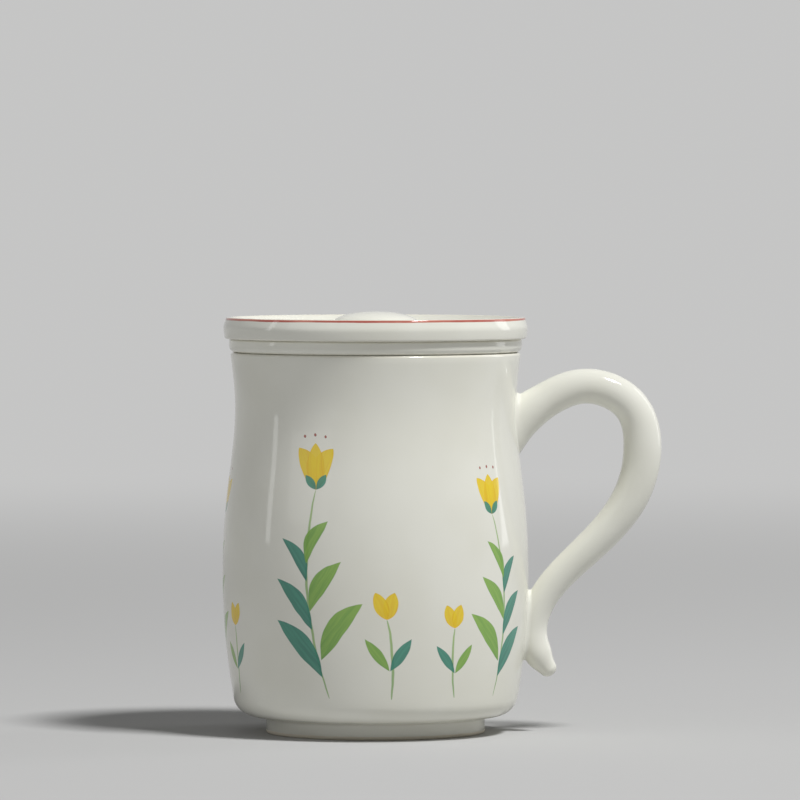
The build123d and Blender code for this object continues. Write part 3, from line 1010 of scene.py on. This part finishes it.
def lower_root(rod):
    """Places on the rod round the patch where it meets the wall at its lower root."""
    facing = math.pi
    late = rod.marks[rod.marks > rod.marks[-1] * LOWER_ROOT_START_SHARE]
    centre = late[np.argmin(wall_gap(rod.point(late, np.full_like(late, facing))))]
    reach = np.linspace(0, 1, ROOT_TRIES)
    places = []
    for turn in ROOT_ANGLES:
        marks = np.clip(centre + LOWER_ROOT_REACH * reach * math.cos(turn), 0, rod.marks[-1])
        places.append(first_crossing(rod, marks, facing + LOWER_ROOT_TURN * reach * math.sin(turn)))
    return places


def fillet_rows(rod, mark, angle, rounding):
    """Section of the slip at one place: a ball rolled in the corner of rod and wall."""
    corner = rod.point(mark, angle)
    centre_line = rod.at(rod.centres, mark)
    rod_out = unit(corner - np.array((centre_line[0], 0, centre_line[1])))
    wall_out = wall_normal(corner)
    up_rod = unit(wall_out - rod_out * (rod_out @ wall_out))
    along_wall = unit(rod_out - wall_out * (rod_out @ wall_out))
    half = math.acos(np.clip(up_rod @ along_wall, -1, 1)) / 2
    ball = corner + unit(up_rod + along_wall) * rounding / math.sin(half)
    for _ in range(FILLET_TRIES):
        for way in (rod.onto(ball) - ball, onto_wall(ball) - ball):
            gap = np.linalg.norm(way)
            ball = ball - way / gap * (rounding - gap) / 2
    first, last = unit(rod.onto(ball) - ball), unit(onto_wall(ball) - ball)
    sweep = math.acos(np.clip(first @ last, -1, 1))
    turns = np.linspace(0, sweep, FILLET_STEPS)
    ways = [(first * math.sin(sweep - turn) + last * math.sin(turn)) / math.sin(sweep) for turn in turns]
    rows = [ball + way * rounding for way in ways]
    off_rod = unit(first * (first @ last) - last)
    off_wall = unit(last * (first @ last) - first)
    on_rod = rod.onto(rows[0] + off_rod * ROOT_LAP, ROOT_LAP_SINK)
    on_wall = onto_wall(rows[-1] + off_wall * ROOT_LAP, ROOT_LAP_SINK)
    return [on_rod] + rows + [on_wall, corner - (rod_out + wall_out) * ROOT_LAP]


def skin(bm, rings, following, flip=False):
    """Faces from each ring of vertices to the one that follows it."""
    for ring, after in zip(rings, following):
        for j in range(len(ring)):
            over = (j + 1) % len(ring)
            corners = (ring[j], after[j], after[over], ring[over])
            bm.faces.new(corners[:1] + corners[:0:-1] if flip else corners)


def mesh_from(bm, name):
    """Mesh of what was built, which is then let go."""
    mesh = bpy.data.meshes.new(name)
    bm.to_mesh(mesh)
    bm.free()
    return mesh


def slip_shell(bm, rows):
    """Closed ring of the slip's sections, sharp where it laps onto rod and wall."""
    grid = [[bm.verts.new(point) for point in row] for row in rows]
    following = grid[1:] + grid[:1]
    skin(bm, grid, following)
    for ring, after in zip(grid, following):
        for j in (0, len(ring) - 2):
            bm.edges.get((ring[j], after[j])).smooth = False


def rod_shell(bm, rod):
    """Closed skin of the rod, with its root tucked into the wall."""
    steps = np.linspace(0, rod.marks[-TIP_RINGS - 2], ROD_RINGS)
    marks = np.concatenate([steps, rod.marks[-TIP_RINGS:-1]])
    angles = np.linspace(0, math.tau, ROD_SIDES, endpoint=False)
    rings = []
    for mark in marks:
        points = rod.point(np.full_like(angles, mark), angles)
        for index in np.flatnonzero(wall_gap(points) < -ROD_TUCK):
            points[index] = onto_wall(points[index], ROD_TUCK)
        rings.append([bm.verts.new(point) for point in points])
    skin(bm, rings, rings[1:])
    for ring in (rings[0], rings[-1]):
        pole = bm.verts.new(sum((vert.co for vert in ring), Vector()) / ROD_SIDES)
        for j in range(ROD_SIDES):
            bm.faces.new((ring[j], ring[(j + 1) % ROD_SIDES], pole))


def handle_piece(glaze):
    """Looped rod with a free tail, rounded into the wall at both roots."""
    rod = Rod()
    bm = bmesh.new()
    rod_shell(bm, rod)
    sides = np.sin(ROOT_ANGLES) ** 2
    for root, (at_ends, at_sides) in ((upper_root(rod), UPPER_FILLETS), (lower_root(rod), LOWER_FILLETS)):
        radii = at_ends + (at_sides - at_ends) * sides
        slip_shell(bm, [fillet_rows(rod, *place, radius) for place, radius in zip(root, radii)])
    bmesh.ops.recalc_face_normals(bm, faces=bm.faces)
    mesh = mesh_from(bm, "looped_handle")
    mesh.shade_smooth()
    mesh.materials.append(glaze)
    return new_object("looped_handle", mesh)


# Turned pieces and infuser

def turned_piece(name, outline, segments, glaze):
    """Piece turned from one outline."""
    core = max(radius for radius, height in outline) / 2
    helper = curve_object(name + "_outline", [outline], core)
    return grown(name, wheel, glaze, {"Outline": helper, "Segments": segments, "Core": core})


def mark_outside(mesh):
    """Mark the cup's outer side, which carries the paint."""
    places = np.array([vertex.co for vertex in mesh.vertices])
    outside = wall_gap(places) > -CUP_WALL / 2
    mesh.attributes.new(OUTSIDE, "FLOAT", "POINT").data.foreach_set("value", outside.astype(np.float32))


def pierced_tile():
    """Flat tile of wall with a hole whose edges are softened, and the tile's width."""
    mid_radius = (basket_radius(BAND_BASE) + basket_radius(BAND_TOP)) / 2
    width = math.tau * mid_radius / SIDE_HOLES
    xs = np.linspace(-0.5, 0.5, ROUND_SEGMENTS // SIDE_HOLES + 1) * width
    zs = np.linspace(-0.5, 0.5, TILE_STEPS + 1) * SIDE_PITCH
    half = np.array([(x, zs[0]) for x in xs[:-1]] + [(xs[-1], z) for z in zs[:-1]])
    edge = np.vstack([half, -half])
    towards = unit(edge)
    rings = [(towards * HOLE_MOUTH * (1 - share) + edge * share, 0.0) for share in TILE_SHARES]
    for turn in np.radians(TILE_TURNS):
        rings.append((towards * (HOLE_MOUTH - HOLE_EDGE * math.sin(turn)), HOLE_EDGE * (1 - math.cos(turn))))
    rings += [(ring, BAND_WALL - depth) for ring, depth in rings[::-1]]
    bm = bmesh.new()
    grid = [[bm.verts.new((x, depth, z)) for x, z in ring] for ring, depth in rings]
    skin(bm, grid, grid[1:], flip=True)
    return new_object("pierced_tile", mesh_from(bm, "pierced_tile")), width


def infuser_piece(glaze):
    """Basket with a flange, pierced at the foot of its wall and in its floor."""
    tile, tile_width = pierced_tile()
    values = {
        "Outline": curve_object("basket_outline", basket_outlines(), BASKET_RADIUS),
        "Segments": ROUND_SEGMENTS,
        "Core": BASKET_RADIUS,
        "Tile": tile,
        "Columns": SIDE_HOLES,
        "Rows": SIDE_ROWS,
        "Tile Width": tile_width,
        "Tile Height": SIDE_PITCH,
        "Band Base": BAND_BASE,
        "Band Radius": basket_radius(BAND_BASE),
        "Band Slope": BASKET_TAPER / (RIM_HEIGHT - BASKET_BASE),
        "Plate Radius": PLATE_RADIUS,
        "Plate Base": BASKET_BASE,
        "Plate Thickness": BASKET_FLOOR,
        "Hole Radius": HOLE_MOUTH,
        "Hole Outline": curve_object("hole_outline", [hole_outline()], HOLE_MOUTH),
        "Hole Sides": HOLE_SIDES,
        "Ring Pitch": HOLE_PITCH,
    }
    return grown("pierced_infuser", basket_tree(), glaze, values)


cup_glaze = glazed("painted_cup_glaze", painted_sprigs, THIN_ON_CUP)
plain_glaze = glazed("plain_glaze", None, THIN_ON_PLAIN)
lid_glaze = glazed("lined_lid_glaze", painted_line, THIN_ON_LID)

wheel = turned_tree()
cup = turned_piece("waisted_cup", cup_outline(), ROUND_SEGMENTS, cup_glaze)
mark_outside(cup.data)
dressed(cup, "cup", "cup_body")
handle = handle_piece(plain_glaze)
dressed(handle, "cup", "cup_handle")
infuser = infuser_piece(plain_glaze)
dressed(infuser, "infuser", "infuser")
lid = turned_piece("dished_lid", lid_outline(), ROUND_SEGMENTS, lid_glaze)
dressed(lid, "lid", "lid")
knob = turned_piece("lid_button", knob_outline(), SMALL_SEGMENTS, plain_glaze)
dressed(knob, "lid", "lid_knob")


# Stage, light and camera

FLOOR_REACH = 30.0
FLOOR_GREY = (0.53, 0.53, 0.527, 1)
BACK_GREY = (0.56, 0.56, 0.557, 1)
FLOOR_FADE = (0.3, 1.8)
WORLD_WHITE = (1, 1, 1, 1)
WORLD_STRENGTH = 0.17
LAMPS = (  # name, watts, width and height, place
    ("key", 110.0, (0.6, 0.6), (1.34, -1.13, 3.10)),
    ("fill", 2.5, (1.4, 1.4), (-1.6, -1.2, 0.9)),
    ("edge", 1.8, (0.30, 1.1), (1.15, 0.55, 0.56)),
    ("strip", 0.45, (0.11, 0.8), (-1.25, -0.05, 0.46)),
)
LAMP_AIM = (0.0, 0.0, 0.065)
CAMERA_PLACE = (0.0071, -2.04, 0.1606)
CAMERA_AIM = (0.0071, 0.0, 0.0967)
CAMERA_LENS = 316  # millimetres, as is the sensor
CAMERA_SENSOR = 36


def aimed(name, data, place, aim):
    """Lamp or camera at a place, looking at a point."""
    thing = new_object(name, data)
    thing.location = place
    thing.rotation_euler = (Vector(aim) - Vector(place)).to_track_quat("-Z", "Y").to_euler()
    return thing


def background_rays(w):
    """One for rays that show the background itself, nought for those that carry light."""
    rays = w.add("ShaderNodeLightPath").outputs
    seen = w.math("MAXIMUM", rays["Is Camera Ray"], rays["Is Glossy Ray"])
    return w.math("MAXIMUM", seen, rays["Is Transmission Ray"])


def floor_finish():
    """Pale matt floor that fades into the background."""
    material = bpy.data.materials.new("pale_floor")
    w = blank(material)
    place = w.add("ShaderNodeTexCoord").outputs["Object"]
    far = w.ramp(w.vector("LENGTH", place), *FLOOR_FADE)
    matt = w.first("ShaderNodeBsdfDiffuse", {"Color": FLOOR_GREY})
    plain = w.first("ShaderNodeEmission", {"Color": BACK_GREY})
    mixed = w.first("ShaderNodeMixShader", {0: w.times(far, background_rays(w)), 1: matt, 2: plain})
    w.add("ShaderNodeOutputMaterial", {"Surface": mixed})
    return material


def set_stage():
    """Floor, world, lamps and camera."""
    mesh = bpy.data.meshes.new("floor")
    corners = [(x * FLOOR_REACH, y * FLOOR_REACH, 0) for x, y in ((-1, -1), (1, -1), (1, 1), (-1, 1))]
    mesh.from_pydata(corners, [], [(0, 1, 2, 3)])
    mesh.materials.append(floor_finish())
    new_object("floor", mesh)

    world = bpy.data.worlds.new("studio")
    bpy.context.scene.world = world
    w = blank(world)
    plain = w.first("ShaderNodeBackground", {"Color": BACK_GREY})
    glow = w.first("ShaderNodeBackground", {"Color": WORLD_WHITE, "Strength": WORLD_STRENGTH})
    mixed = w.first("ShaderNodeMixShader", {0: background_rays(w), 1: glow, 2: plain})
    w.add("ShaderNodeOutputWorld", {"Surface": mixed})

    for name, watts, size, place in LAMPS:
        lamp = bpy.data.lights.new(name, "AREA")
        lamp.energy = watts
        lamp.shape = "RECTANGLE"
        lamp.size, lamp.size_y = size
        aimed(name, lamp, place, LAMP_AIM)

    camera = bpy.data.cameras.new("camera")
    camera.lens = CAMERA_LENS
    camera.sensor_width = CAMERA_SENSOR
    bpy.context.scene.camera = aimed("camera", camera, CAMERA_PLACE, CAMERA_AIM)
    bpy.context.scene.view_settings.view_transform = "Standard"


set_stage()
